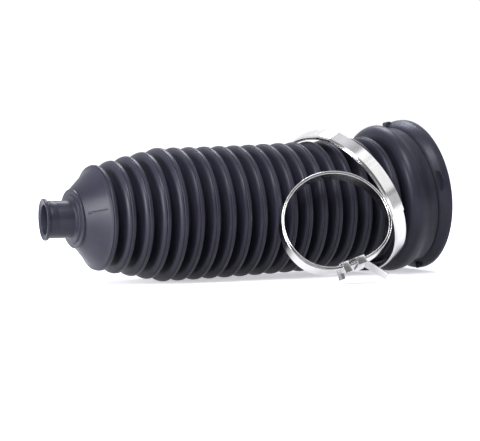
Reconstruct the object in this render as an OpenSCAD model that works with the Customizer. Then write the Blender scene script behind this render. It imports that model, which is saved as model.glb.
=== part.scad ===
// Steering rack boot: a moulded rubber bellows lying on a floor, with its two steel clamps.
// X runs from the tie rod end to the rack end, Z points up. The origin is the centre of
// the rack end's face.

/* [Bellows] */
// Number of moulded crests
crest_count = 19; // [12:1:24]
// Crests at the tie rod end that grow from the cone to the full size
cone_crests = 4; // [2:1:6]
// Distance from crest to crest
crest_pitch = 8.7; // [8:0.1:10]
// Distance from crest to crest on the cone
cone_pitch = 8.6; // [8:0.1:10]
// Radius over the full-size crests
crest_r = 33.5; // [31:0.5:35]
// Radius over the first crest
first_crest_r = 25.8; // [23:0.1:30]
// Depth of a fold, from crest to valley
fold_depth = 7; // [5:0.5:8]
// Width of the narrow ridge on top of a crest
ridge_w = 2; // [1.5:0.1:2.5]
// Thickness of the rubber
wall = 1.7; // [1.4:0.1:2]

/* [Tie rod end] */
// Radius of the hole that grips the tie rod
rod_bore_r = 7.4; // [6.5:0.1:7.6]
// Length of the straight grip
rod_bore_l = 10; // [8:0.5:12]
// Outer radius of the clamp seat
cuff_r = 9.2; // [9:0.1:9.5]
// Outer radius of the lip in front of the clamp seat
lip_r = 10.1; // [9.8:0.1:11]
// Distance from the end face to the shoulder behind the clamp seat
cuff_l = 13.2; // [12.5:0.1:13.6]
// Distance from the end face to the first crest
cone_l = 26.6; // [26:0.1:28]

/* [Rack end] */
// Radius of the hole that fits the rack housing
rack_bore_r = 32.5; // [31:0.5:33]
// Length of the straight fit
rack_bore_l = 14; // [10:0.5:15]
// Outer radius of the bulge in front of the clamp seat
bulge_r = 38.6; // [38:0.1:39.5]
// Outer radius at the bottom of the clamp seat
seat_r = 35.6; // [35:0.1:36.5]
// Outer radius of the end ring
ring_r = 39; // [38.5:0.1:39.3]
// Radius over the two locating lugs
lug_r = 39.6; // [39.4:0.1:40]
// Angle of the lugs from the vertical
lug_turn = 15; // [15:1:40]

/* [Large clamp] */
// Outer radius of the rack end's clamp
large_r = 40; // [39.8:0.1:41]
// Width of its band
large_w = 9.4; // [8:0.1:10]
// Thickness of its band
large_t = 0.6; // [0.5:0.1:0.8]
// Height of the pinched ear over the band
ear_rise = 1.4; // [1:0.1:2]

/* [Small clamp] */
// Width of the tie rod end's band
small_w = 9; // [8:0.5:10]
// Thickness of its band
small_t = 0.5; // [0.4:0.05:0.6]
// Thickness of the buckle's sheet
buckle_t = 0.9; // [0.7:0.1:1]
// Length of the buckle along the band
buckle_l = 12.9; // [12:0.1:14]

/* [Hidden] */
$fn = 96;

rubber = [0.10, 0.10, 0.115];
steel = [0.78, 0.77, 0.75];

// Places along the boot, measured from the tie rod end's face
full_crest_x = cone_l + cone_crests * cone_pitch;
last_crest_x = full_crest_x + (crest_count - 1 - cone_crests) * crest_pitch;
last_valley_x = last_crest_x + 4.4;
bulge_x = last_crest_x + 10;
seat_x = bulge_x + 10;
boot_l = seat_x + 7.9;
lug_x = seat_x + 2.6;
recess_x = seat_x + 2.3;

// The boot lies on its bulge and on the first full-size crest, so its axis tilts
rest_span = bulge_x - full_crest_x;
rest_tilt = asin((bulge_r - crest_r) / rest_span);
floor_z = -(bulge_r + (boot_l - bulge_x) * sin(rest_tilt)) * cos(rest_tilt);

function mix(a, b, t) = a + (b - a) * t;
function ease(t) = let (u = min(max(t, 0), 1)) u * u * (3 - 2 * u);

function crest_x(i) = i < cone_crests
    ? cone_l + i * cone_pitch
    : full_crest_x + (i - cone_crests) * crest_pitch;

function crest_radius(i) = mix(first_crest_r, crest_r, min(i / cone_crests, 1));

function pitch_at(i) = i < cone_crests ? cone_pitch : crest_pitch;

// One crest from left valley to right valley: long curved flank, narrow ridge, steep flank
function crest_outline(i) = let (
    x = crest_x(i), r = crest_radius(i), h = ridge_w / 2, foot = pitch_at(i) / 2 - 0.7)
    concat(
        i == 0 ? [] : [[x - foot - 0.1, r - fold_depth], [x - 3.5, r - 4.4], [x - 2.9, r - 1.9]],
        i == 0 ? [] : [[x - 2.2, r - 0.85], [x - h - 0.5, r - 0.42]],
        [[x - h, r - 0.12], [x, r], [x + h - 0.4, r - 0.2], [x + h, r - 0.8]],
        [[x + h + 0.3, r - 2.2], [x + h + 0.75, r - 4.4], [x + foot, r - fold_depth]]);

// The same crest inside the wall
function crest_cavity(i) = let (
    x = crest_x(i), r = crest_radius(i) - wall, foot = pitch_at(i) / 2 - 2.5)
    concat(
        i == 0 ? [] : [[x - foot - 0.4, r - fold_depth + 0.2], [x - 1.6, r - 1.2], [x - 1.1, r - 0.2]],
        [[x - 0.5, r - 0.1], [x - 0.1, r - 0.7], [x + foot - 0.2, r - fold_depth + 0.2]]);

function arc_points(centre, r, from, to, steps) =
    [for (k = [0 : steps]) centre + r * [cos(mix(from, to, k / steps)), sin(mix(from, to, k / steps))]];

// Lip, clamp seat, stepped shoulder and cone of the tie rod end
function rod_end_outline() = concat(
    arc_points([0.8, lip_r - 0.8], 0.8, 180, 80, 4),
    [[1.7, lip_r - 0.25], [2.2, cuff_r + 0.1], [3, cuff_r], [cuff_l - 1, cuff_r]],
    arc_points([cuff_l - 1, cuff_r + 0.8], 0.8, -70, -10, 3),
    [[cuff_l + 0.1, 11.3], [cuff_l + 0.6, 12.1], [cuff_l + 1.5, 12.5]],
    [[cuff_l + 2.1, 13.9], [cuff_l + 2.8, 14.5], [cuff_l + 3.5, 14.5], [cuff_l + 4.4, 15.3]],
    [[cone_l - 2, first_crest_r - 3], [cone_l - 1.5, first_crest_r - 1], [cone_l - 1, first_crest_r - 0.4]]);

// Bulge, clamp seat and end ring of the rack end
function rack_end_outline() = concat(
    [[last_valley_x + 0.9, crest_r - fold_depth]],
    [[bulge_x - 4.6, bulge_r - 6.6], [bulge_x - 3.7, bulge_r - 3.4]],
    arc_points([bulge_x, bulge_r - 3.2], 3.2, 165, 75, 6),
    [[bulge_x + 3.6, bulge_r - 0.8], [bulge_x + 6.4, seat_r + 1], [seat_x - 1.2, seat_r + 0.15]],
    [[seat_x, seat_r]],
    [[seat_x + 0.3, seat_r + 0.7], [seat_x + 1.6, seat_r + 2.2], [seat_x + 3.4, ring_r - 0.4]],
    [[seat_x + 5, ring_r - 0.05]],
    arc_points([boot_l - 1, ring_r - 1], 1, 90, 10, 4));

// Inside of the rack end, from its face to the last fold
function rack_end_cavity() = [
    [boot_l, rack_bore_r],
    [boot_l - rack_bore_l, rack_bore_r],
    [boot_l - rack_bore_l - 0.8, rack_bore_r + 1.4],
    [bulge_x + 0.6, bulge_r - 2.4],
    [bulge_x - 0.8, bulge_r - 2.6],
    [bulge_x - 1.7, bulge_r - 4.2],
    [bulge_x - 2.6, bulge_r - 7.2],
    [last_valley_x + 1.6, crest_r - fold_depth - wall + 0.2]];

// Inside of the tie rod end, from the first fold to its face
function rod_end_cavity() = [
    [cone_l - 1.1, first_crest_r - 4.2],
    [cuff_l + 5.8, 14.3],
    [cuff_l + 3, 12.1],
    [cuff_l + 0.6, 10.1],
    [rod_bore_l + 1.6, rod_bore_r + 0.4],
    [rod_bore_l + 0.9, rod_bore_r],
    [0.9, rod_bore_r],
    [0, rod_bore_r + 0.7]];

boot_outline = concat(
    rod_end_outline(),
    [for (i = [0 : crest_count - 1]) each crest_outline(i)],
    rack_end_outline(),
    rack_end_cavity(),
    [for (i = [crest_count - 1 : -1 : 0]) each reversed(crest_cavity(i))],
    rod_end_cavity());

function reversed(points) = [for (k = [len(points) - 1 : -1 : 0]) points[k]];

// A revolve about the boot's own axis, moved so that the rack end's face is at the origin
module about_boot_axis() {
    rotate([0, -rest_tilt, 0]) translate([-boot_l, 0, 0]) children();
}

module turned(outline) {
    rotate([90, 0, 90]) rotate_extrude() polygon([for (p = outline) [p[1], p[0]]]);
}

// A low round lug on the end ring; side 1 is the upper one, -1 the lower one
module locating_lug(side) {
    lug_w = 2.5;
    rotate([side > 0 ? -lug_turn : 180 - lug_turn, 0, 0]) translate([lug_x, 0, 0]) {
        translate([0, 0, seat_r - 1.5]) cylinder(r = lug_w, h = lug_r - 0.5 - seat_r + 1.5, $fn = 32);
        translate([0, 0, lug_r - 0.5]) cylinder(r1 = lug_w, r2 = lug_w - 0.6, h = 0.5, $fn = 32);
    }
}

// A shallow oval recess in the flank of the end ring, on the side between the lugs
module ring_recess() {
    end_r = 1.2;
    rotate([81, 0, 0]) translate([recess_x, 0, seat_r + 1.6]) {
        for (side = [-1, 1]) translate([0, 4 * side, 0]) cylinder(r = end_r, h = 4, $fn = 32);
        translate([-end_r, -4, 0]) cube([2 * end_r, 8, 4]);
    }
}

module rubber_boot() {
    color(rubber) about_boot_axis() {
        difference() {
            turned(boot_outline);
            ring_recess();
        }
        locating_lug(1);
        locating_lug(-1);
    }
}

// A flat strip bent along points: its outline in the plane of the bend
function normal_at(p, k) = let (
    a = p[max(k - 1, 0)], b = p[min(k + 1, len(p) - 1)], d = b - a)
    [-d[1], d[0]] / norm(d);

module bent_strip(path, t, w) {
    side_a = [for (k = [0 : len(path) - 1]) path[k] + normal_at(path, k) * t / 2];
    side_b = [for (k = [0 : len(path) - 1]) path[k] - normal_at(path, k) * t / 2];
    translate([0, 0, -w / 2]) linear_extrude(w) polygon(concat(side_a, reversed(side_b)));
}

// Stands a clamp up from its own plane: the plane's X is level and its Y points up
module standing(place, yaw, pitch) {
    translate(place) rotate([0, 0, yaw]) rotate([0, -pitch, 0]) rotate([90, 0, 90]) children();
}

// Large clamp: the band runs once round, steps over its own start and ends past the ear
large_place = [-46.7, -3.8, -1.9];
large_yaw = 12.4;
large_pitch = 25.9;
large_gap = 0.2;
large_start = 60;
large_step_from = 396;
large_step_to = 414;
large_end = 544;
// The loose band is a little oval: it stands out on the far side
oval_rise = 3;
oval_at = 380;
oval_half = 60;
ear = [[443, 0], [459, ear_rise], [470.5, ear_rise - 0.15], [477, 0]];

function oval_height(a) = let (d = min(abs(a - oval_at), abs(a - oval_at + 360)))
    d < oval_half ? oval_rise * pow(cos(90 * d / oval_half), 2) : 0;

function ear_height(a) = a <= ear[0][0] || a >= ear[3][0] ? 0 : lookup(a, ear);

// The plane's X points to the far side, so the angle is 0 there and 90 at the top
function large_radius(a) = let (
    outer = large_r - large_t / 2, inner = outer - large_t - large_gap,
    dimple = 0.1 * (ease((a - 500) / 3) - ease((a - 504) / 4)))
    mix(inner, outer, ease((a - large_step_from) / (large_step_to - large_step_from)))
    + oval_height(a) + ear_height(a) - dimple;

function large_path() = [
    for (a = concat([for (s = [large_start : 4 : ear[0][0] - 1]) s], [ear[0][0], ear[1][0]],
        [ear[2][0], ear[3][0]], [for (s = [ear[3][0] + 3 : 4 : large_end]) s]))
    large_radius(a) * [cos(a), sin(a)]];

module large_clamp_band() {
    color(steel) standing(large_place, large_yaw, large_pitch) bent_strip(large_path(), large_t, large_w);
}

// Small clamp: the band starts inside the buckle, goes round twice and ends in a bent tail
small_place = [-77.5, -50.8, -11.6];
small_yaw = -107.2;
small_pitch = 26.6;
// Angle and radius of the band's middle line at chosen places along both turns
small_turns = [
    [-79, 21.2], [-70, 21], [-56, 21.5], [-34, 23.3], [-12, 25.6], [16, 26.9], [50, 27.2],
    [90, 26.6], [135, 26.7], [180, 27], [204, 26.3], [232, 25.5], [252, 24.6], [269, 23.5],
    [279, 23.15], [290, 22.75], [302, 23.3], [326, 24.9], [345, 26.4], [366, 27.6], [392, 28.3],
    [422, 28.8], [456, 28.4], [505, 27.8], [545, 27.7], [584, 28.5], [604, 27.4], [620, 25.5],
    [632, 24.5], [650, 23.7]];
small_tail = [[11.5, -21.1], [13.1, -21], [15.6, -22.3], [20.2, -25.3], [23.2, -28.4]];
band_step = 5;

// Smooth curve through the chosen places
function curve(p, n, t) = let (
    a = p[max(n - 1, 0)], b = p[n], c = p[n + 1], d = p[min(n + 2, len(p) - 1)])
    0.5 * (2 * b + (c - a) * t + (2 * a - 5 * b + 4 * c - d) * t * t
    + (3 * b - a - 3 * c + d) * t * t * t);

function span_steps(n) = max(1, round((small_turns[n + 1][0] - small_turns[n][0]) / band_step));

function small_path() = concat(
    [for (n = [0 : len(small_turns) - 2]) for (k = [0 : span_steps(n) - 1])
        let (q = curve(small_turns, n, k / span_steps(n))) q[1] * [cos(q[0]), sin(q[0])]],
    [for (n = [0 : len(small_tail) - 2]) for (k = [0 : 2]) curve(small_tail, n, k / 3)],
    [small_tail[len(small_tail) - 1]]);

module small_clamp_band() {
    color(steel) standing(small_place, small_yaw, small_pitch) bent_strip(small_path(), small_t, small_w);
}

// Buckle: a folded sheet with two rails beside the band, a base, a bridge and two ears
buckle_turn = -70;
buckle_from = -8.1;
base_r = 21.4;
base_from = -4.5;
bridge_r = 24.4;
bridge_from = -0.7;
bridge_l = 5.5;
bar_w = 1;
ear_h = 26.4;

// A plate in the buckle: along the band from x, from radius r0 to r1, over width w
module plate(x, l, r0, r1, w_from, w_to) {
    translate([r0, x, w_from]) cube([r1 - r0, l, w_to - w_from]);
}

module small_clamp_buckle() {
    inner_w = small_w / 2 + 0.2;
    outer_w = inner_w + buckle_t;
    bridge_top = bridge_r + buckle_t;
    color(steel) standing(small_place, small_yaw, small_pitch) rotate([0, 0, buckle_turn]) {
        plate(base_from, buckle_l + buckle_from - base_from, base_r, base_r + buckle_t, -outer_w, outer_w);
        plate(bridge_from, bridge_l, bridge_r, bridge_top, -outer_w, outer_w);
        plate(bridge_from - 2.4, bar_w, bridge_r, bridge_top, -outer_w, outer_w);
        for (side = [-1, 1]) mirror([0, 0, side > 0 ? 0 : 1]) {
            plate(buckle_from, buckle_l, base_r, bridge_top, inner_w, outer_w);
            translate([0, 0, inner_w]) linear_extrude(buckle_t) polygon([
                [bridge_top - 0.1, buckle_from], [ear_h, buckle_from], [ear_h - 0.4, buckle_from + 3.3],
                [bridge_top - 0.1, buckle_from + 4]]);
        }
    }
}

rubber_boot();
large_clamp_band();
small_clamp_band();
small_clamp_buckle();
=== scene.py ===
"""A moulded rubber steering rack boot with its two loose steel strip clamps, on a white floor."""

from __future__ import annotations

import logging
import math
from dataclasses import dataclass, replace
from enum import Enum
from typing import Callable, Iterable, Sequence

import bpy
from mathutils import Euler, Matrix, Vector

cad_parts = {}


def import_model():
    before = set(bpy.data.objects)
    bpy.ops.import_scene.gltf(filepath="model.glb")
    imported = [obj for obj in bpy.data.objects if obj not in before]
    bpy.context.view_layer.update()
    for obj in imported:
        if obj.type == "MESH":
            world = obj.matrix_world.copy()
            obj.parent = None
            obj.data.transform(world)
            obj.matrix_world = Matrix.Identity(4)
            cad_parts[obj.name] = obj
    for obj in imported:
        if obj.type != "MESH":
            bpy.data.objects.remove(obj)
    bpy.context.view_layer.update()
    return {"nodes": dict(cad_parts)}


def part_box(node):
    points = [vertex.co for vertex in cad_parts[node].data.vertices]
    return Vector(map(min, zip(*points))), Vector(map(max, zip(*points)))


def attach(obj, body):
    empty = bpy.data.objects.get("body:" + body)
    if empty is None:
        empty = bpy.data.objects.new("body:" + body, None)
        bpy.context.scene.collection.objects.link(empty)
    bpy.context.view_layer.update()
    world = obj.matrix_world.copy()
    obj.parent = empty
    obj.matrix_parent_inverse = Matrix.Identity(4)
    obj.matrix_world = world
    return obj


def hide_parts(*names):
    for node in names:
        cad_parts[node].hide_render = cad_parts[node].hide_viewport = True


LOG = logging.getLogger("steering_rack_boot")

MM = 0.001
BODY = "root"

Point = tuple[float, float]
Curve = tuple[Point, ...]
Triple = tuple[float, float, float]
Piece = bpy.types.Object
Socket = bpy.types.NodeSocket
Value = float | Sequence[float] | Socket


class Slot(Enum):
    """The record's material slots."""

    RUBBER = "rubber"
    LARGE_BAND = "large_band"
    SMALL_BAND = "small_band"
    BUCKLE = "buckle"


def mix(a: float, b: float, t: float) -> float:
    """Value between a and b at share t."""
    return a + (b - a) * t


def ease(t: float) -> float:
    """Smooth step from 0 to 1 as t goes from 0 to 1."""
    u = min(max(t, 0.0), 1.0)
    return u * u * (3 - 2 * u)


def smooth(points: Sequence[Sequence[float]], n: int, t: float) -> list[float]:
    """Point on the smooth curve through points, between point n and the next.

    Args:
        points: the chosen places, of two or more numbers each.
        n: index of the place before.
        t: share of the way to the next place.

    Returns:
        The place on the curve, with as many numbers as a place has.
    """
    a = points[max(n - 1, 0)]
    b = points[n]
    c = points[n + 1]
    d = points[min(n + 2, len(points) - 1)]
    return [
        0.5
        * (
            2 * q
            + (r - p) * t
            + (2 * p - 5 * q + 4 * r - s) * t**2
            + (3 * q - p - 3 * r + s) * t**3
        )
        for p, q, r, s in zip(a, b, c, d)
    ]


def smooth_value(points: Sequence[Point], x: float) -> float:
    """Height of the smooth curve through points of rising x.

    Args:
        points: the chosen places, each an x and a height.
        x: where the height is wanted.

    Returns:
        The height.
    """
    n = 0
    while n < len(points) - 2 and x > points[n + 1][0]:
        n += 1
    x0, x1 = points[n][0], points[n + 1][0]
    return smooth(points, n, (x - x0) / (x1 - x0))[1]


def polar(radius: float, angle: float) -> Point:
    """Place at a radius and an angle in degrees."""
    turn = math.radians(angle)
    return radius * math.cos(turn), radius * math.sin(turn)


def arc(centre: Point, radius: float, start: float, end: float, steps: int) -> list[Point]:
    """Points of an arc in a plane.

    Args:
        centre: centre of the arc.
        radius: its radius.
        start: first angle, in degrees.
        end: last angle, in degrees.
        steps: number of chords.

    Returns:
        The points, from start to end.
    """
    places = [polar(radius, mix(start, end, k / steps)) for k in range(steps + 1)]
    return [(centre[0] + x, centre[1] + y) for x, y in places]


def deselect() -> None:
    """Leaves nothing selected, in object mode."""
    if bpy.context.object and bpy.context.object.mode != "OBJECT":
        bpy.ops.object.mode_set(mode="OBJECT")
    bpy.ops.object.select_all(action="DESELECT")


def activate(piece: Piece) -> None:
    """Selects one piece alone and makes it active.

    Args:
        piece: the piece.
    """
    deselect()
    piece.select_set(True)
    bpy.context.view_layer.objects.active = piece


def settle(piece: Piece) -> None:
    """Applies a piece's place, turn and scale to its mesh."""
    activate(piece)
    bpy.ops.object.transform_apply(location=True, rotation=True, scale=True)


def polyline(name: str, points: Iterable[Sequence[float]]) -> Piece:
    """Draws a chain of edges, vertex by vertex.

    Args:
        name: name of the new piece.
        points: places of its vertices, in metres.

    Returns:
        The piece, in edit mode, with its last vertex selected.
    """
    places = [Vector(p) for p in points]
    deselect()
    bpy.ops.mesh.primitive_plane_add(size=MM)
    piece = bpy.context.object
    piece.name = name
    piece.data.name = name
    bpy.ops.object.mode_set(mode="EDIT")
    bpy.ops.mesh.select_mode(type="VERT")
    bpy.ops.mesh.select_all(action="SELECT")
    bpy.ops.mesh.merge(type="CENTER")
    bpy.ops.transform.translate(value=places[0])
    for before, after in zip(places[:-1], places[1:]):
        bpy.ops.mesh.extrude_vertices_move(TRANSFORM_OT_translate={"value": after - before})
    return piece


def apply_modifier(piece: Piece, kind: str, **settings: object) -> None:
    """Adds one modifier to a piece and applies it.

    Args:
        piece: the piece to shape.
        kind: the modifier's type.
        settings: its settings by name.
    """
    activate(piece)
    modifier = piece.modifiers.new(kind.lower(), kind)
    for key, value in settings.items():
        setattr(modifier, key, value)
    bpy.ops.object.modifier_apply(modifier=modifier.name)


def recalculate(piece: Piece, merge: float = 0.00001) -> None:
    """Merges doubles and points all faces outwards.

    Args:
        piece: the piece.
        merge: distance under which vertices are one.
    """
    activate(piece)
    bpy.ops.object.mode_set(mode="EDIT")
    bpy.ops.mesh.select_all(action="SELECT")
    bpy.ops.mesh.remove_doubles(threshold=merge)
    bpy.ops.mesh.normals_make_consistent(inside=False)
    bpy.ops.object.mode_set(mode="OBJECT")


def smooth_shade(piece: Piece, angle: float = 35.0) -> None:
    """Shades a piece smooth, apart from edges sharper than angle."""
    activate(piece)
    bpy.ops.object.shade_smooth_by_angle(angle=math.radians(angle))


class Nodes:
    """Adds nodes to one tree."""

    def __init__(self, tree: bpy.types.NodeTree) -> None:
        """Keeps the tree."""
        self.tree = tree

    def feed(self, target: Socket, value: Value) -> None:
        """Links a socket to the target, or writes a plain value in it.

        Args:
            target: the socket that takes the value.
            value: a plain value, or the socket that it comes from.
        """
        if isinstance(value, Socket):
            self.tree.links.new(value, target)
        else:
            target.default_value = value

    def add(self, kind: str, values: dict[str | int, Value], **settings: object) -> bpy.types.Node:
        """Adds one node.

        Args:
            kind: its type, without the word that all types start with.
            values: what its sockets get, by name or number.
            settings: its properties by name.

        Returns:
            The node.
        """
        node = self.tree.nodes.new("ShaderNode" + kind)
        for key, setting in settings.items():
            setattr(node, key, setting)
        for key, value in values.items():
            self.feed(node.inputs[key], value)
        return node

    def span(
        self,
        value: Value,
        low: Value,
        high: Value,
        limits: Point = (0.0, 1.0),
        kind: str = "LINEAR",
    ) -> Socket:
        """Maps a value to a range, within its ends.

        Args:
            value: the value.
            low: what comes out at the first limit.
            high: what comes out at the second.
            limits: the two limits of the value.
            kind: how it runs between them.

        Returns:
            The socket of what comes out.
        """
        values = {
            "Value": value,
            "From Min": limits[0],
            "From Max": limits[1],
            "To Min": low,
            "To Max": high,
        }
        return self.add("MapRange", values, interpolation_type=kind).outputs["Result"]


@dataclass(frozen=True)
class Rubber:
    """Finish of the moulded rubber.

    Attributes:
        colour: base colour, linear.
        gloss: level of its reflection.
        tint: colour of its reflection.
        roughness: mean roughness.
        grain: strength of the fine surface grain.
    """

    colour: Triple = (0.0235, 0.023, 0.0365)
    gloss: float = 0.25
    tint: Triple = (0.93, 0.93, 1)
    roughness: float = 0.38
    grain: float = 0.10


@dataclass(frozen=True)
class Steel:
    """Finish of rolled stainless strip.

    Attributes:
        colour: colour of its reflection, linear.
        roughness: mean roughness.
        brush: strength of the rolling lines.
    """

    colour: Triple = (0.70, 0.69, 0.685)
    roughness: float = 0.16
    brush: float = 0.05


class Workshop:
    """Makes the materials and the node group that they share."""

    def __init__(self) -> None:
        """Builds the shared group once."""
        self.speckle = self._speckle_group()

    def _speckle_group(self) -> bpy.types.NodeTree:
        """Group that gives a noise mask between two values.

        Returns:
            The node group.
        """
        tree = bpy.data.node_groups.new("surface_speckle", "ShaderNodeTree")
        sockets = [
            ("Vector", "INPUT", "NodeSocketVector"),
            ("Scale", "INPUT", "NodeSocketFloat"),
            ("Low", "INPUT", "NodeSocketFloat"),
            ("High", "INPUT", "NodeSocketFloat"),
            ("Value", "OUTPUT", "NodeSocketFloat"),
        ]
        for name, way, kind in sockets:
            tree.interface.new_socket(name, in_out=way, socket_type=kind)
        nodes = Nodes(tree)
        entry = tree.nodes.new("NodeGroupInput").outputs
        look = {
            "Vector": entry["Vector"],
            "Scale": entry["Scale"],
            "Detail": 5.0,
            "Roughness": 0.6,
        }
        noise = nodes.add("TexNoise", look).outputs["Fac"]
        mask = nodes.span(noise, entry["Low"], entry["High"], (0.3, 0.7))
        nodes.feed(tree.nodes.new("NodeGroupOutput").inputs["Value"], mask)
        return tree

    def mask(self, nodes: Nodes, place: Socket, scale: float, low: float, high: float) -> Socket:
        """Puts the speckle group into a material.

        Args:
            nodes: the material's nodes.
            place: where the pattern's place comes from.
            scale: size of the pattern, in cycles a metre.
            low: least value.
            high: greatest value.

        Returns:
            The socket of the value.
        """
        values = {"Vector": place, "Scale": scale, "Low": low, "High": high}
        return nodes.add("Group", values, node_tree=self.speckle).outputs["Value"]

    def new_material(self, name: str) -> tuple[bpy.types.Material, Nodes, bpy.types.ShaderNode]:
        """Makes a material.

        Args:
            name: its name.

        Returns:
            The material, its nodes and its Principled shader.
        """
        material = bpy.data.materials.new(name)
        material.use_nodes = True
        tree = material.node_tree
        return material, Nodes(tree), tree.nodes["Principled BSDF"]

    def tone(
        self, nodes: Nodes, shader: bpy.types.ShaderNode, colour: Triple, mask: Socket
    ) -> None:
        """Gives the shader a colour that the mask lightens and darkens.

        Args:
            nodes: the material's nodes.
            shader: its shader.
            colour: the colour, linear.
            mask: what the colour is multiplied by.
        """
        grey = nodes.add("CombineColor", {"Red": mask, "Green": mask, "Blue": mask})
        values = {"Factor": 1.0, "A": (*colour, 1), "B": grey.outputs["Color"]}
        mixed = nodes.add("Mix", values, data_type="RGBA", blend_type="MULTIPLY")
        nodes.feed(shader.inputs["Base Color"], mixed.outputs["Result"])

    def relief(
        self,
        nodes: Nodes,
        shader: bpy.types.ShaderNode,
        mask: Socket,
        strength: float,
        depth: float,
    ) -> None:
        """Gives the shader a fine relief.

        Args:
            nodes: the material's nodes.
            shader: its shader.
            mask: height of the relief, from 0 to 1.
            strength: its strength.
            depth: its depth, in metres.
        """
        bump = nodes.add("Bump", {"Height": mask, "Strength": strength, "Distance": depth})
        nodes.feed(shader.inputs["Normal"], bump.outputs["Normal"])

    def rubber(self, finish: Rubber) -> bpy.types.Material:
        """Moulded black rubber: faint bloom, fine grain.

        Args:
            finish: its colours and strengths.

        Returns:
            The material.
        """
        material, nodes, shader = self.new_material("moulded_rubber")
        shader.inputs["Specular IOR Level"].default_value = finish.gloss
        shader.inputs["Specular Tint"].default_value = (*finish.tint, 1)
        place = nodes.add("TexCoord", {}).outputs["Object"]
        bloom = self.mask(nodes, place, scale=40.0, low=0.85, high=1.25)
        self.tone(nodes, shader, finish.colour, bloom)
        smoother, rougher = finish.roughness - 0.05, finish.roughness + 0.06
        roughness = self.mask(nodes, place, scale=90.0, low=smoother, high=rougher)
        nodes.feed(shader.inputs["Roughness"], roughness)
        grain = self.mask(nodes, place, scale=2600.0, low=0.0, high=1.0)
        self.relief(nodes, shader, grain, strength=finish.grain, depth=0.0001)
        return material

    def steel(self, name: str, finish: Steel) -> bpy.types.Material:
        """Bright rolled strip: fine lines along the band, from its UV map.

        Args:
            name: name of the material.
            finish: its colours and strengths.

        Returns:
            The material.
        """
        material, nodes, shader = self.new_material(name)
        shader.inputs["Metallic"].default_value = 1.0
        places = nodes.add("TexCoord", {}).outputs
        stretch = nodes.add("Mapping", {"Vector": places["UV"], "Scale": (0.03, 1.0, 1.0)})
        cloud = self.mask(nodes, places["Object"], scale=120.0, low=0.9, high=1.04)
        self.tone(nodes, shader, finish.colour, cloud)
        lines = self.mask(nodes, stretch.outputs["Vector"], scale=2500.0, low=0.0, high=1.0)
        roughness = nodes.span(lines, finish.roughness - 0.04, finish.roughness + 0.08)
        nodes.feed(shader.inputs["Roughness"], roughness)
        self.relief(nodes, shader, lines, strength=finish.brush, depth=0.00005)
        return material


def dress(piece: Piece, material: bpy.types.Material, node: str) -> None:
    """Gives a finished piece its material and body, and hides the CAD node that it stands for.

    Args:
        piece: the finished piece.
        material: its material.
        node: the CAD node that it replaces.
    """
    piece.data.materials.clear()
    piece.data.materials.append(material)
    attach(piece, BODY)
    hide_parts(node)
    LOG.info("%s: %d faces", piece.name, len(piece.data.polygons))


@dataclass(frozen=True)
class Disc:
    """Short round or oval form on the end ring, in millimetres.

    Attributes:
        turn: its angle from the top towards the far side, in degrees.
        middle: distance of its middle from the boot's axis.
        depth: its depth.
        radius: its radius.
        stretch: its scale along the boot, round it and outwards.
        rounding: radius of its rounded rim.
        corners: number of corners round it.
        facets: number of facets of its rim.
    """

    turn: float
    middle: float
    depth: float
    radius: float
    stretch: Triple
    rounding: float
    corners: int
    facets: int


# Upper locating lug of the end ring; the lower one is opposite
LUG = Disc(
    turn=12.0,
    middle=38.0,
    depth=3.4,
    radius=2.2,
    stretch=(0.95, 1.05, 1.0),
    rounding=1.0,
    corners=40,
    facets=5,
)
# Cutter of the shallow oval recess in the ring's flank
RECESS = Disc(
    turn=-76.5,
    middle=38.9,
    depth=4.0,
    radius=1.0,
    stretch=(1.5, 5.4, 1.0),
    rounding=0.3,
    corners=48,
    facets=2,
)


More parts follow.
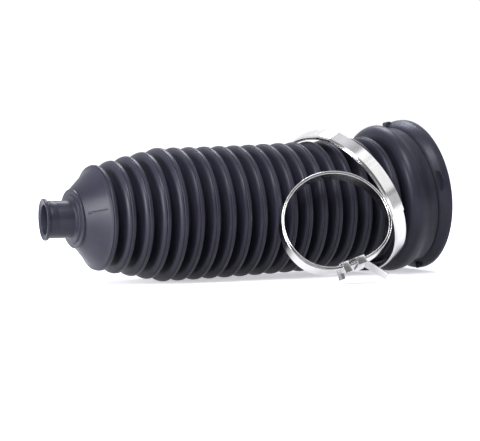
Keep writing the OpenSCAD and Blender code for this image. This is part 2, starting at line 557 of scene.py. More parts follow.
@dataclass
class Boot:
    """The rubber boot, drawn as moulded and then bent to its sagging centre line.

    Places are in millimetres along the boot from the tie rod end's face, radii and depths too.

    Attributes:
        floor: height of the floor in the row frame.
        steps: faces round the boot.
        crests: number of crests.
        cone_crests: number of them that widen from the cone.
        pitch: distance between the full crests.
        cone_pitch: distance between the widening ones.
        crest_r: radius over a full crest.
        first_crest_r: radius over the first crest.
        fold: depth of a fold.
        wall: thickness of the rubber in the folds.
        cuff_r: radius of the tie rod end's clamp seat.
        lip_r: radius of its lip.
        cuff_l: where the seat ends and the shoulder starts.
        cone_l: where the cone ends and the first crest stands.
        rod_bore_r: radius of the tie rod's bore.
        rack_bore_r: radius of the rack housing's bore.
        bulge_r: radius over the bulge.
        ring_r: radius over the end ring.
        mark_turn: angles of the two mould lines from the top to the near side, in degrees.
        mark_r: radius of their cutter.
        detail: distance of the lugs and the recess from the seat.
        centre_line: height of the axis over the floor at places along the boot.
        side_line: distance of the axis to the far side.
        droop: turn of the section about the level axis, in degrees.
        lean: turn of the section about the upright axis, in degrees.
    """

    floor: float
    steps: int = 160
    crests: int = 19
    cone_crests: int = 4
    pitch: float = 8.7
    cone_pitch: float = 8.6
    crest_r: float = 33.4
    first_crest_r: float = 26.1
    fold: float = 7.0
    wall: float = 1.7
    cuff_r: float = 9.2
    lip_r: float = 10.3
    cuff_l: float = 13.2
    cone_l: float = 26.6
    rod_bore_r: float = 7.4
    rack_bore_r: float = 32.5
    bulge_r: float = 38.6
    ring_r: float = 39.6
    mark_turn: Point = (76.3, 79.0)
    mark_r: float = 0.22
    detail: float = 2.6
    centre_line: Curve = (
        (0, 32.3),
        (13, 32.4),
        (20, 32.7),
        (27, 32.7),
        (43, 33.1),
        (61, 33.35),
        (100, 34.0),
        (139, 35.3),
        (166, 36.5),
        (193, 38.65),
        (211, 40.5),
    )
    side_line: Curve = (
        (0, 4.3),
        (12, 2.2),
        (28, 0.3),
        (50, 0),
        (211, 0),
    )
    droop: Curve = (
        (0, 1.5),
        (13, 1.0),
        (20, 2.6),
        (27, 1.0),
        (36, -1.0),
        (45, 0.6),
        (61, 0),
        (180, 0),
        (194, 0.4),
        (203, 2.0),
        (211, 2.4),
    )
    lean: Curve = (
        (0, 10),
        (6, 7),
        (13, 1.5),
        (27, 1.7),
        (61, 1.8),
        (100, 1.5),
        (170, 1.2),
        (192, 0.3),
        (211, 0),
    )

    def __post_init__(self) -> None:
        """Works out the places along the boot."""
        self.full_crest_x = self.cone_l + self.cone_crests * self.cone_pitch
        self.last_crest_x = self.full_crest_x + (self.crests - 1 - self.cone_crests) * self.pitch
        self.last_valley_x = self.last_crest_x + 4.4
        self.bulge_x = self.last_crest_x + 10.2
        self.seat_x = self.bulge_x + 9.8
        self.length = self.seat_x + 7.9
        self.cone_start = (self.cuff_l + 3.0, 15.3)
        self.cone_end = (self.cone_l - 2.6, self.first_crest_r - 2.5)

    def on_cone(self, t: float) -> Point:
        """Place along the boot and radius at a share t of the way up the cone."""
        (x0, r0), (x1, r1) = self.cone_start, self.cone_end
        return mix(x0, x1, t), mix(r0, r1, t)

    def crest_x(self, i: int) -> float:
        """Place of one crest along the boot.

        Args:
            i: its number, from 0.

        Returns:
            The place.
        """
        if i < self.cone_crests:
            return self.cone_l + i * self.cone_pitch
        return self.full_crest_x + (i - self.cone_crests) * self.pitch

    def crest_foot(self, i: int) -> float:
        """Half the distance from crest i to the next."""
        return (self.cone_pitch if i < self.cone_crests else self.pitch) / 2

    def crest_radius(self, i: int) -> float:
        """Radius over crest i."""
        return mix(self.first_crest_r, self.crest_r, min(i / self.cone_crests, 1.0))

    def crest_outline(self, i: int) -> list[Point]:
        """Outside of one crest: long curved flank, grooved narrow ridge, steep flank.

        Args:
            i: its number, from 0.

        Returns:
            The points, from left to right.
        """
        x, r = self.crest_x(i), self.crest_radius(i)
        foot = self.crest_foot(i)
        left = [
            (-foot + 0.35, -self.fold),
            (-foot + 0.6, -self.fold + 0.6),
            (-3.6, -4.9),
            (-3.3, -3.2),
            (-2.95, -2.1),
            (-2.5, -1.3),
            (-2.05, -0.78),
            (-1.65, -0.46),
        ]
        ridge = [
            (-1.4, -0.34),
            (-1.2, -0.6),
            (-1.0, -0.58),
            (-0.75, -0.14),
            (-0.4, -0.02),
            (0.2, 0.0),
            (0.7, -0.05),
            (0.95, -0.24),
            (1.08, -0.7),
        ]
        right = [
            (1.12, -1.5),
            (1.25, -2.7),
            (1.8, -4.6),
            (foot - 1.3, -self.fold + 0.75),
            (foot - 0.8, -self.fold + 0.15),
            (foot - 0.4, -self.fold),
        ]
        shape = ridge + right if i == 0 else left + ridge + right
        return [(x + dx, r + dr) for dx, dr in shape]

    def crest_cavity(self, i: int) -> list[Point]:
        """Inside of one crest.

        Args:
            i: its number, from 0.

        Returns:
            The points, from its right valley to its left one.
        """
        x, r = self.crest_x(i), self.crest_radius(i) - self.wall
        foot = self.crest_foot(i)
        shape = [
            (foot - 2.2, -self.fold + 0.3),
            (foot - 2.7, -self.fold + 0.8),
            (0.3, -2.4),
            (-0.1, -0.9),
            (-0.5, -0.2),
            (-1.0, -0.2),
            (-1.5, -1.0),
            (-1.9, -2.8),
            (-foot + 2.1, -self.fold + 0.9),
            (-foot + 1.8, -self.fold + 0.3),
        ]
        return [(x + dx, r + dr) for dx, dr in (shape[:5] if i == 0 else shape)]

    def rod_end_outline(self) -> list[Point]:
        """Lip, clamp seat, stepped shoulder and cone of the tie rod end.

        Returns:
            The points, from the face to the first crest.
        """
        shoulder, cone, top = self.cuff_l, self.cone_l, self.first_crest_r
        return [
            *arc((0.45, self.lip_r - 0.45), 0.45, 180, 100, 4),
            *arc((1.25, self.lip_r - 0.4), 0.4, 85, 15, 3),
            (1.75, self.cuff_r + 0.25),
            (1.95, self.cuff_r - 0.1),
            (2.25, self.cuff_r - 0.12),
            (2.5, self.cuff_r + 0.04),
            (5.4, self.cuff_r + 0.02),
            (5.6, self.cuff_r - 0.06),
            (5.8, self.cuff_r + 0.01),
            (shoulder - 0.9, self.cuff_r),
            *arc((shoulder - 0.8, self.cuff_r + 0.7), 0.7, -70, -15, 3),
            (shoulder + 0.0, 11.3),
            *arc((shoulder + 0.5, 11.85), 0.45, 170, 80, 4),
            (shoulder + 0.85, 12.5),
            (shoulder + 0.95, 13.5),
            *arc((shoulder + 1.5, 14.1), 0.55, 165, 70, 4),
            (shoulder + 2.1, 14.6),
            (shoulder + 2.3, 14.4),
            (shoulder + 2.5, 14.6),
            self.cone_start,
            self.cone_end,
            (cone - 2.15, top - 1.85),
            (cone - 1.85, top - 1.25),
            (cone - 1.65, top - 0.85),
            (cone - 1.5, top - 0.55),
        ]

    def rack_end_outline(self) -> list[Point]:
        """Bulge, clamp seat and end ring of the rack end.

        Returns:
            The points, from the last valley to the face.
        """
        bulge, seat, top = self.bulge_x - 0.6, self.seat_x, self.bulge_r
        return [
            (self.last_valley_x + 0.8, self.crest_r - self.fold),
            (bulge - 5.15, top - 7.4),
            (bulge - 5.0, top - 6.2),
            *arc((bulge, top - 5.0), 5.0, 172, 86, 12),
            (bulge + 2.0, top - 0.28),
            (bulge + 3.7, top - 0.85),
            (bulge + 5.4, top - 1.55),
            (bulge + 7.1, top - 2.15),
            (bulge + 8.8, top - 2.5),
            (seat + 0.55, top - 2.55),
            (seat + 0.7, top - 2.95),
            (seat + 0.9, top - 2.95),
            (seat + 1.05, top - 2.3),
            (seat + 1.9, top - 1.4),
            (seat + 2.9, top - 0.6),
            (seat + 3.9, top + 0.08),
            (seat + 4.9, self.ring_r - 0.18),
            (seat + 5.8, self.ring_r - 0.02),
            *arc((self.length - 1.1, self.ring_r - 1.1), 1.1, 90, 5, 6),
        ]

    def rack_end_cavity(self) -> list[Point]:
        """Inside of the rack end.

        Returns:
            The points, from its face to the last fold.
        """
        end, bulge = self.length, self.bulge_x
        return [
            (end, self.rack_bore_r + 0.5),
            (end - 0.15, self.rack_bore_r + 0.15),
            (end - 0.5, self.rack_bore_r),
            (end - 14.0, self.rack_bore_r),
            (end - 14.6, self.rack_bore_r + 0.9),
            (end - 15.2, self.rack_bore_r + 1.6),
            (bulge + 0.6, self.bulge_r - 2.3),
            (bulge - 0.8, self.bulge_r - 2.6),
            (bulge - 1.9, self.bulge_r - 4.2),
            (bulge - 2.8, self.bulge_r - 7.4),
            (self.last_valley_x + 1.7, self.crest_r - self.fold - self.wall + 0.2),
        ]

    def rod_end_cavity(self) -> list[Point]:
        """Inside of the tie rod end.

        Returns:
            The points, from the first fold to its face.
        """
        return [
            (self.cone_l - 1.3, self.first_crest_r - 3.6),
            (self.cone_l - 2.2, self.first_crest_r - 5.4),
            (self.cuff_l + 5.8, 14.3),
            (self.cuff_l + 3.0, 12.1),
            (self.cuff_l + 0.6, 10.1),
            (self.cuff_l - 1.6, self.rod_bore_r + 0.4),
            (10.9, self.rod_bore_r),
            (1.2, self.rod_bore_r),
            (0.75, self.rod_bore_r + 0.1),
            (0.6, self.rod_bore_r + 0.3),
            (0.2, self.lip_r - 0.9),
            (0.05, self.lip_r - 0.65),
        ]

    def outline(self) -> list[Point]:
        """The whole closed section.

        Returns:
            The points, outside first.
        """
        points = self.rod_end_outline()
        for i in range(self.crests):
            points += self.crest_outline(i)
        points += self.rack_end_outline() + self.rack_end_cavity()
        for i in reversed(range(self.crests)):
            points += self.crest_cavity(i)
        return points + self.rod_end_cavity()

    def bend(self, x: float, y: float, z: float) -> Vector:
        """Moves a point of the straight boot to the bent one.

        Args:
            x: place along the boot, in millimetres.
            y: distance to the side of its axis.
            z: distance above its axis.

        Returns:
            The place in the row frame, in metres.
        """
        height = smooth_value(self.centre_line, x)
        rise = smooth_value(self.centre_line, x + 0.5) - smooth_value(self.centre_line, x - 0.5)
        slope = math.atan(rise) + math.radians(smooth_value(self.droop, x))
        lean = math.radians(smooth_value(self.lean, x))
        along = x - self.length - z * math.sin(slope) + y * math.sin(lean)
        side = smooth_value(self.side_line, x) + y * math.cos(lean)
        return Vector((along, side, self.floor + height + z * math.cos(slope))) * MM

    def disc(self, form: Disc) -> Piece:
        """Makes one form of the end ring.

        Args:
            form: its sizes.

        Returns:
            The form, still apart.
        """
        deselect()
        turn = math.radians(form.turn)
        side, up = form.middle * math.sin(turn), form.middle * math.cos(turn)
        bpy.ops.mesh.primitive_cylinder_add(
            vertices=form.corners,
            radius=form.radius,
            depth=form.depth,
            location=(self.seat_x + self.detail, side, up),
            rotation=(-turn, 0, 0),
        )
        piece = bpy.context.object
        piece.scale = form.stretch
        settle(piece)
        apply_modifier(
            piece, "BEVEL", width=form.rounding, segments=form.facets, limit_method="ANGLE"
        )
        return piece

    def mould_line(self, turn: float, start: Point, end: Point) -> Piece:
        """Cutter of a fine straight line in the cone.

        Args:
            turn: its angle from the top towards the near side, in degrees.
            start: place along the boot and radius of its first end.
            end: the same of its other end.

        Returns:
            The cutter.
        """
        deselect()
        slant = math.atan2(end[1] - start[1], end[0] - start[0])
        bpy.ops.mesh.primitive_cylinder_add(
            vertices=10,
            radius=self.mark_r,
            depth=math.dist(start, end),
            location=((start[0] + end[0]) / 2, 0, (start[1] + end[1]) / 2),
            rotation=(0, math.pi / 2 - slant, 0),
        )
        piece = bpy.context.object
        settle(piece)
        piece.rotation_euler = (math.radians(turn), 0, 0)
        piece.location = Vector((piece.location.x, 0, 0))
        settle(piece)
        return piece

    def build(self) -> Piece:
        """Makes the boot.

        Returns:
            The finished mesh, without its material.
        """
        section = [(x, 0.0, r) for x, r in self.outline()]
        piece = polyline("rubber_boot_skin", [*section, section[0]])
        bpy.ops.mesh.select_all(action="SELECT")
        bpy.ops.mesh.remove_doubles(threshold=0.001)
        bpy.ops.mesh.select_all(action="SELECT")
        bpy.ops.mesh.spin(steps=self.steps, angle=math.tau, center=(0, 0, 0), axis=(1, 0, 0))
        bpy.ops.object.mode_set(mode="OBJECT")
        recalculate(piece, merge=0.0005)
        long_mark, short_mark = self.mark_turn
        tools = [
            (self.disc(RECESS), "DIFFERENCE"),
            (self.mould_line(long_mark, self.on_cone(0.08), self.on_cone(0.95)), "DIFFERENCE"),
            (self.mould_line(short_mark, self.on_cone(0.04), self.on_cone(0.22)), "DIFFERENCE"),
            (self.disc(LUG), "UNION"),
            (self.disc(replace(LUG, turn=LUG.turn + 180)), "UNION"),
        ]
        for tool, operation in tools:
            apply_modifier(piece, "BOOLEAN", object=tool, operation=operation, solver="EXACT")
            bpy.data.objects.remove(tool)
        for vertex in piece.data.vertices:
            vertex.co = self.bend(*vertex.co)
        smooth_shade(piece, angle=40)
        return piece


@dataclass
class Band:
    """A strip clamp: a path in the clamp's own plane, given width and thickness.

    Attributes:
        name: name of the piece.
        place: centre of the clamp in the row frame, in millimetres.
        yaw: turn about the upright axis, in degrees.
        pitch: lean of the clamp's axis, in degrees.
        width: width of the strip.
        thickness: thickness of the strip.
        path: places of the strip's middle line in the plane.
        turned: width and drop of the strip's turned edge, or zeros.
        rounding: radius of its rounded edges.
    """

    name: str
    place: Triple
    yaw: float
    pitch: float
    width: float
    thickness: float
    path: Callable[[], list[Point]]
    turned: Point = (0.0, 0.0)
    rounding: float = 0.2

    def stand(self, across: float, u: float, v: float) -> Vector:
        """Puts a point of the clamp's plane into the row frame.

        Args:
            across: place across the strip.
            u: first place in the plane.
            v: second place in the plane.

        Returns:
            The place in the row frame, in metres.
        """
        point = Vector((across, u, v))
        point.rotate(Euler((0, math.radians(-self.pitch), math.radians(self.yaw)), "XYZ"))
        return (point + Vector(self.place)) * MM

    def build(self) -> Piece:
        """Makes the strip with rounded edges and a UV map that runs along it.

        Returns:
            The finished mesh, without its material.
        """
        path = self.path()
        half = self.width / 2
        wide, drop = self.turned
        rows = [-half, -half + wide, half] if wide else [-half, half]
        shares = [1 - drop / math.hypot(u, v) for u, v in path]
        edge = [(u * share, v * share) for (u, v), share in zip(path, shares)]
        piece = polyline(self.name, [self.stand(-half, u, v) for u, v in path])
        bpy.ops.mesh.select_all(action="SELECT")
        for before, after in zip(rows[:-1], rows[1:]):
            step = self.stand(after, 0, 0) - self.stand(before, 0, 0)
            bpy.ops.mesh.extrude_edges_move(TRANSFORM_OT_translate={"value": step})
        bpy.ops.object.mode_set(mode="OBJECT")
        for vertex, (u, v) in zip(piece.data.vertices, edge):
            vertex.co = self.stand(-half, u, v)
        self._map_along(piece, path, rows)
        apply_modifier(
            piece,
            "SOLIDIFY",
            thickness=self.thickness * MM,
            offset=0.0,
            use_even_offset=True,
        )
        apply_modifier(
            piece,
            "BEVEL",
            width=self.rounding * MM,
            segments=3,
            limit_method="ANGLE",
            angle_limit=math.radians(50),
        )
        smooth_shade(piece, angle=12)
        return piece

    def _map_along(self, piece: Piece, path: list[Point], rows: list[float]) -> None:
        """Gives the strip a UV map in metres: U along it and V across it.

        Args:
            piece: the flat strip.
            path: places of its middle line.
            rows: places of its rows of vertices across it.
        """
        runs = [0.0]
        for a, b in zip(path[:-1], path[1:]):
            runs.append(runs[-1] + math.dist(a, b))
        layer = piece.data.uv_layers.new(name="along")
        count = len(path)
        for loop in piece.data.loops:
            row, index = divmod(loop.vertex_index, count)
            layer.data[loop.index].uv = (runs[index] * MM, rows[row] * MM)


def bump(angle: float, middle: float) -> float:
    """Smooth bump of height 1 and 60 degrees to each side of its middle."""
    off = abs(angle - middle)
    return math.cos(math.radians(1.5 * off)) ** 2 if off < 60 else 0.0


@dataclass(frozen=True)
class LargeTurns:
    """The large band's path: once round inside, then over its own start to the free end.

    Lengths are in millimetres, and angles in degrees along the strip.

    Attributes:
        radius: radius over the outer turn.
        thickness: thickness of the strip.
        gap: gap between the turns.
        start: angle of the hidden end.
        step: angles between which the strip climbs over its own start.
        end: angle of the free end.
        ear: corners of the low pinched ear, each an angle and a height.
        oval: height of the bulge at the top, and its angle.
        sag: the same of the bulge at the bottom.
        crease: depth of the crease, its angle, and the angles that it takes to form and to end.
    """

    radius: float = 40.0
    thickness: float = 0.6
    gap: float = 0.2
    start: int = 60
    step: Point = (396, 414)
    end: int = 547
    ear: Curve = ((450, 0.0), (456.5, 0.5), (467.3, 0.6), (473.5, 0.0))
    oval: Point = (3, 20)
    sag: Point = (1.3, 215)
    crease: tuple[float, float, float, float] = (0.07, 506, 3.5, 1.5)

    def ear_height(self, angle: float) -> float:
        """Height of the pinched ear over the strip.

        Args:
            angle: angle along the strip.

        Returns:
            The height.
        """
        for (a, low), (b, high) in zip(self.ear[:-1], self.ear[1:]):
            if a <= angle <= b:
                return mix(low, high, (angle - a) / (b - a))
        return 0.0

    def radius_at(self, angle: float) -> float:
        """Radius of the strip's middle line.

        Args:
            angle: angle along the strip.

        Returns:
            The radius.
        """
        outer = self.radius - self.thickness / 2
        inner = outer - self.thickness - self.gap
        climb = ease((angle - self.step[0]) / (self.step[1] - self.step[0]))
        high, top = self.oval
        oval = high * max(bump(angle, top), bump(angle, top + 360))
        low, bottom = self.sag
        sag = low * bump(angle % 360, bottom)
        depth, place, forming, ending = self.crease
        formed = ease((angle - place + forming) / forming) - ease((angle - place) / ending)
        return mix(inner, outer, climb) + oval + sag + self.ear_height(angle) - depth * formed

    def path(self) -> list[Point]:
        """Middle line of the band.

        Returns:
            Its places in the clamp's plane.
        """
        corners = [angle for angle, _ in self.ear]
        even = [self.start + 2 * k for k in range((self.end - self.start) // 2 + 1)]
        even = [angle for angle in even if not corners[0] - 1 < angle < corners[-1] + 1]
        _, place, forming, ending = self.crease
        count = round((forming + ending) * 2) + 1
        fine = [place - forming + 0.5 * k for k in range(count)]
        angles = sorted(set(even + corners + fine + [self.end]))
        return [polar(self.radius_at(angle), angle) for angle in angles]


@dataclass(frozen=True)
class SmallTurns:
    """The small band's path: two turns, then the bent tail.

    Lengths are in millimetres, and angles in degrees along the strip.

    Attributes:
        turns: angle and radius of the middle line at chosen places along both turns.
        tail: chosen places of the tail in the same plane.
        step: angle between the points of a turn.
        tail_steps: number of points from one place of the tail to the next.
    """

    turns: Curve = (
        (-84, 21.2),
        (-77, 20.9),
        (-70, 20.8),
        (-56, 21.4),
        (-34, 23.4),
        (-12, 25.7),
        (16, 27.2),
        (50, 28.1),
        (90, 27.7),
        (135, 27.0),
        (180, 27),
        (204, 26.6),
        (232, 25.4),
        (252, 23.8),
        (264, 22.8),
        (276, 21.9),
        (290, 21.6),
        (304, 22.2),
        (326, 24.4),
        (345, 26.4),
        (366, 27.9),
        (392, 28.7),
        (422, 29.0),
        (456, 28.5),
        (505, 27.8),
        (545, 27.8),
        (584, 27.5),
        (604, 26.1),
        (620, 24.3),
        (632, 23.1),
        (643, 22.5),
        (650, 22.4),
    )
    tail: Curve = (
        (10.9, -19.8),
        (12.2, -19.6),
        (13.7, -20.2),
        (15.5, -21.4),
        (18.0, -23.2),
        (20.4, -24.9),
        (23.1, -26.9),
    )
    step: float = 2.5
    tail_steps: int = 5

    def path(self) -> list[Point]:
        """Middle line of the band.

        Returns:
            Its places in the clamp's plane.
        """
        points = []
        for n, (before, after) in enumerate(zip(self.turns[:-1], self.turns[1:])):
            steps = max(1, round((after[0] - before[0]) / self.step))
            for k in range(steps):
                angle, radius = smooth(self.turns, n, k / steps)
                points.append(polar(radius, angle))
        for n in range(len(self.tail) - 1):
            shares = [k / self.tail_steps for k in range(self.tail_steps)]
            points += [tuple(smooth(self.tail, n, share)) for share in shares]
        return points + [self.tail[-1]]


@dataclass
class Buckle:
    """The small clamp's folded sheet buckle, with a bridge at one end and two ears at the other.

    Sizes are radii from the clamp's centre and distances along the band, in millimetres.

    Attributes:
        band: the band that it holds.
        turn: its angle in the band's plane, in degrees.
        sheet: thickness of the sheet.
        play: gap between the band's edges and the walls.
        base_r: inner radius of the base.
        bridge_r: inner radius of the bridge.
        ear_r: radius over the ears.
        base: both ends of the base along the band.
        bridge: both ends of the bridge.
        walls: both ends of the walls that carry it.
        rounding: radius of the rounded edges.
    """

    band: Band
    turn: float = -70.0
    sheet: float = 0.7
    play: float = 0.15
    base_r: float = 19.5
    bridge_r: float = 22.9
    ear_r: float = 25.2
    base: Point = (-8.4, 5.0)
    bridge: Point = (0.2, 4.9)
    walls: Point = (0.15, 4.85)
    rounding: float = 0.2

    def plate(self, along: Point, radii: Point, across: Point) -> Piece:
        """Makes a box.

        Args:
            along: both its ends along the band.
            radii: its inner and outer radius.
            across: both its ends across the band.

        Returns:
            The box.
        """
        sides = [along, radii, across]
        deselect()
        bpy.ops.mesh.primitive_cube_add(size=1, location=[(low + high) / 2 for low, high in sides])
        piece = bpy.context.object
        piece.scale = [high - low for low, high in sides]
        settle(piece)
        return piece

    def ear(self, side: int, along: Point, slant: float) -> Piece:
        """Makes one ear, which stands out from a side of the base.

        Args:
            side: 1 or -1.
            along: both its ends along the band.
            slant: how far its top leans along the band.

        Returns:
            The ear.
        """
        inner = self.band.width / 2 + self.play
        across = (inner, inner + self.sheet) if side > 0 else (-inner - self.sheet, -inner)
        piece = self.plate(along, (self.base_r + 0.05, self.ear_r), across)
        for vertex in piece.data.vertices:
            if vertex.co.y > self.bridge_r:
                vertex.co.x += slant
        return piece

    def build(self) -> Piece:
        """Makes the buckle.

        Returns:
            The finished mesh, without its material.
        """
        inner = self.band.width / 2 + self.play
        outer = inner + self.sheet
        low, high = self.base_r, self.bridge_r + self.sheet
        # The plates end a few hundredths apart, so that no two of their faces are flush
        piece = self.plate(self.base, (low, low + self.sheet), (0.04 - outer, outer - 0.04))
        piece.name = "small_buckle"
        parts = [
            self.plate(self.bridge, (self.bridge_r, high), (0.06 - outer, outer - 0.06)),
            self.plate(self.walls, (low + 0.05, high - 0.08), (inner, outer)),
            self.plate(self.walls, (low + 0.05, high - 0.08), (-outer, -inner)),
            self.ear(1, (-7.6, -4.1), -0.1),
            self.ear(-1, (-8.3, -4.9), -1.2),
        ]
        for part in parts:
            apply_modifier(piece, "BOOLEAN", object=part, operation="UNION", solver="EXACT")
            bpy.data.objects.remove(part)
        recalculate(piece, merge=0.001)
        apply_modifier(piece, "BEVEL", width=self.rounding, segments=3, limit_method="ANGLE")
        turn = math.radians(self.turn)
        for vertex in piece.data.vertices:
            along, radius, across = vertex.co
            u = radius * math.cos(turn) - along * math.sin(turn)
            v = radius * math.sin(turn) + along * math.cos(turn)
            vertex.co = self.band.stand(across, u, v)
        recalculate(piece, merge=0.000001)
        smooth_shade(piece)
        return piece


@dataclass(frozen=True)
class Lamp:
    """One soft rectangular light.

    Attributes:
        name: its name.
        place: its place, in metres.
        size: its width and height, in metres.
        power: its power, in watts.
        colour: its colour, linear.
    """

    name: str
    place: Triple
    size: Point
    power: float
    colour: Triple = (1, 1, 1)


@dataclass
class Studio:
    """White floor, soft lights and the camera at the photograph's viewing angle.

    Attributes:
        floor: height of the floor in the row frame, in millimetres.
        camera_place: place of the camera, in millimetres.
        camera_yaw: turn of the camera about the upright axis, in degrees.
        camera_pitch: its angle over the level, in degrees.
        lens: its focal length, in millimetres.
        aim: place that the lamps face, in metres.
        horizon: strength of the light that the world gives at the horizon.
        zenith: the same overhead.
        white: strength of the world where it is seen.
        behind: direction of the white sheet behind the object.
        sheet: nearness to that direction at which the sheet starts and is full.
        shift: what a floor place moves by before its distance is taken, in metres.
        floor_glow: strength of the floor's own white under the object, kept low there as painted
            shade.
        floor_white: the same away from it.
        shadow_reach: distances between which the one becomes the other, in metres.
        floor_bounce: strength of the light that the floor gives near the object.
        dim_reach: distances between which it rises to full light, in metres.
        left_glow: the same light to the left of the object.
        left_edge: places between which it rises there, in metres.
    """

    floor: float
    camera_place: Triple = (-612.9, -939.7, 54.3)
    camera_yaw: float = -28.45
    camera_pitch: float = -3.45
    lens: float = 157.5
    aim: Triple = (-0.1, 0, 0)
    horizon: float = 0.16
    zenith: float = 0.22
    white: float = 1.06
    behind: Triple = (0.42, 0.77, 0.48)
    sheet: Point = (0.3, 0.75)
    shift: Triple = (0.03, 0, 0)
    floor_glow: float = 0.54
    floor_white: float = 1.05
    shadow_reach: Point = (0.1, 0.22)
    floor_bounce: float = 0.05
    dim_reach: Point = (0.2, 0.8)
    left_glow: float = 1.3
    left_edge: Point = (-0.19, -0.27)

    def camera(self) -> None:
        """Makes the camera and sets it as the scene's."""
        data = bpy.data.cameras.new("camera")
        data.lens = self.lens
        data.sensor_width = 36.0
        camera = bpy.data.objects.new("camera", data)
        bpy.context.scene.collection.objects.link(camera)
        camera.location = Vector(self.camera_place) * MM
        turn = (math.radians(90 + self.camera_pitch), 0, math.radians(self.camera_yaw))
        camera.rotation_euler = turn
        bpy.context.scene.camera = camera

    def background_rays(self, nodes: Nodes, mirrored: Socket | None = None) -> Socket:
        """Tells the rays that see the white background from those that carry light to the object.

        Args:
            nodes: the nodes of the world or of the floor's material.
            mirrored: share of the rays off glossy surfaces that see it, all when left out.

        Returns:
            An output that is 1 for the rays that see the white background.
        """
        rays = nodes.add("LightPath", {}).outputs
        total = rays["Is Camera Ray"]
        for part in (rays["Is Transmission Ray"], mirrored or rays["Is Glossy Ray"]):
            more = nodes.add("Math", {0: total, 1: part}, operation="ADD", use_clamp=True)
            total = more.outputs["Value"]
        return total

    def backdrop(self) -> None:
        """World that is white where it is seen, and gives a dim even light.

        Glossy surfaces mirror a white sheet that stands behind the object.
        """
        world = bpy.data.worlds.new("studio")
        bpy.context.scene.world = world
        world.use_nodes = True
        nodes = Nodes(world.node_tree)
        background = world.node_tree.nodes["Background"].inputs
        direction = nodes.add("TexCoord", {}).outputs["Generated"]
        height = nodes.add("SeparateXYZ", {"Vector": direction}).outputs["Z"]
        rise = (-0.05, 0.5)
        given = nodes.span(height, self.horizon, self.zenith, rise, "SMOOTHSTEP")
        nearness = nodes.add("VectorMath", {0: direction, 1: self.behind}, operation="DOT_PRODUCT")
        sheet = nodes.span(nearness.outputs["Value"], 0.0, 1.0, self.sheet, "SMOOTHSTEP")
        glossy = nodes.add("LightPath", {}).outputs["Is Glossy Ray"]
        mirrored = nodes.add("Math", {0: sheet, 1: glossy}, operation="MULTIPLY").outputs["Value"]
        seen = self.background_rays(nodes, mirrored)
        nodes.feed(background["Color"], (0.95, 0.95, 1, 1))
        nodes.feed(background["Strength"], nodes.span(seen, given, self.white))

    def paper(self) -> bpy.types.Material:
        """White of the floor, whose shade round the object is partly cast shadow and partly
        painted shade, and which gives little light by the object.

        Returns:
            The material.
        """
        material = bpy.data.materials.new("white_floor")
        material.use_nodes = True
        nodes = Nodes(material.node_tree)
        place = nodes.add("TexCoord", {}).outputs["Object"]
        moved = nodes.add("Mapping", {"Vector": place, "Location": self.shift}).outputs["Vector"]
        distance = nodes.add("VectorMath", {0: moved}, operation="LENGTH").outputs["Value"]
        # Painted shade: the floor's own glow is lower round the object, so that its shadow shows
        # darker and wider there.
        whites = self.floor_glow, self.floor_white
        glow = nodes.span(distance, *whites, self.shadow_reach, "SMOOTHSTEP")
        bounce = nodes.span(distance, self.floor_bounce, 1.0, self.dim_reach)
        side = nodes.add("SeparateXYZ", {"Vector": place}).outputs["X"]
        leftward = nodes.span(side, 0.0, self.left_glow, self.left_edge, "SMOOTHSTEP")
        given = nodes.add("Math", {0: bounce, 1: leftward}, operation="MAXIMUM").outputs["Value"]
        seen = self.background_rays(nodes)
        colours = {"Factor": seen, "A": (0.3, 0.3, 0.32, 1), "B": (0.84, 0.85, 0.9, 1)}
        colour = nodes.add("Mix", colours, data_type="RGBA").outputs["Result"]
        look = {
            "Base Color": colour,
            "Roughness": 0.8,
            "Specular IOR Level": 0.1,
            # Bluish glow, which gives the painted shade round the object its blue tint.
            "Emission Color": (0.965, 0.96, 1, 1),
            "Emission Strength": nodes.span(seen, given, glow),
        }
        shader = material.node_tree.nodes["Principled BSDF"]
        for name, value in look.items():
            nodes.feed(shader.inputs[name], value)
        return material

    def ground(self) -> None:
        """White floor, which is attached to no body."""
        deselect()
        bpy.ops.mesh.primitive_plane_add(size=6, location=(0, 0, self.floor * MM))
        floor = bpy.context.object
        floor.name = "floor"
        settle(floor)
        floor.data.materials.append(self.paper())

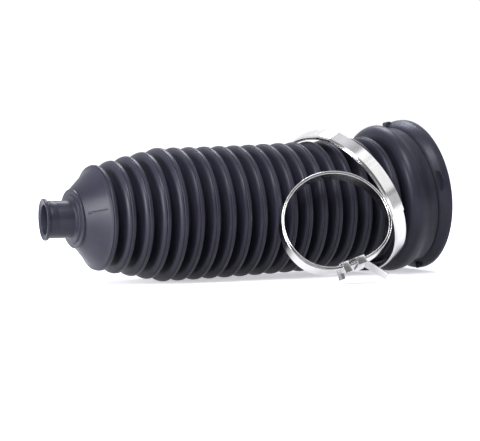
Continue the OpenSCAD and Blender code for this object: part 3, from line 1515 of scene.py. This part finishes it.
    def light(self, lamp: Lamp) -> None:
        """Hangs one lamp that faces the middle of the boot.

        Args:
            lamp: its sizes and power.
        """
        data = bpy.data.lights.new(lamp.name, "AREA")
        data.shape = "RECTANGLE"
        data.size, data.size_y = lamp.size
        data.energy = lamp.power
        data.color = lamp.colour
        piece = bpy.data.objects.new(lamp.name, data)
        bpy.context.scene.collection.objects.link(piece)
        piece.location = lamp.place
        way = Vector(self.aim) - Vector(lamp.place)
        piece.rotation_euler = way.to_track_quat("-Z", "Y").to_euler()

    def build(self) -> None:
        """Sets up camera, world, floor and lights."""
        self.camera()
        self.backdrop()
        self.ground()
        lamps = [
            Lamp("overhead", (0.05, 0.45, 0.6), (0.25, 0.25), 2.6, (0.82, 0.88, 1)),
            Lamp("axial", (-0.9, -0.02, 0.12), (0.3, 0.3), 6.0),
            Lamp("steep", (-0.1, -0.42, 0.95), (0.9, 0.4), 1.7),
            Lamp("right_high", (0.5, -0.66, 0.62), (0.5, 0.75), 1.3),
            Lamp("right_low", (0.63, -0.8, 0.1), (0.5, 0.25), 0.25),
            Lamp("steep_left", (-0.65, -0.42, 0.75), (0.45, 0.45), 7.6),
        ]
        for lamp in lamps:
            self.light(lamp)


def main() -> None:
    logging.basicConfig(level=logging.INFO, format="%(name)s: %(message)s")
    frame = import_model()
    view = bpy.context.scene.view_settings
    view.view_transform = "Standard"
    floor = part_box("rubber_boot")[0].z / MM
    LOG.info("%d nodes, floor at %.2f mm", len(frame["nodes"]), floor)

    Studio(floor).build()
    workshop = Workshop()
    boot = Boot(floor)
    dress(boot.build(), workshop.rubber(Rubber()), "rubber_boot")
    steel = workshop.steel("bright_strip", Steel())
    large_turns = LargeTurns()
    large = Band(
        name="large_band",
        place=(-45.9, -3.8, -1.9),
        yaw=12.4,
        pitch=25.9,
        width=8.2,
        thickness=large_turns.thickness,
        path=large_turns.path,
        turned=(1.3, 0.45),
    )
    dress(large.build(), steel, "large_clamp_band")
    small = Band(
        name="small_band",
        place=(-77.7, -51.5, -11.4),
        yaw=-107.2,
        pitch=26.6,
        width=7.6,
        thickness=0.5,
        path=SmallTurns().path,
    )
    dress(small.build(), steel, "small_clamp_band")
    dress(Buckle(small).build(), steel, "small_clamp_buckle")


if __name__ == "__main__":
    main()
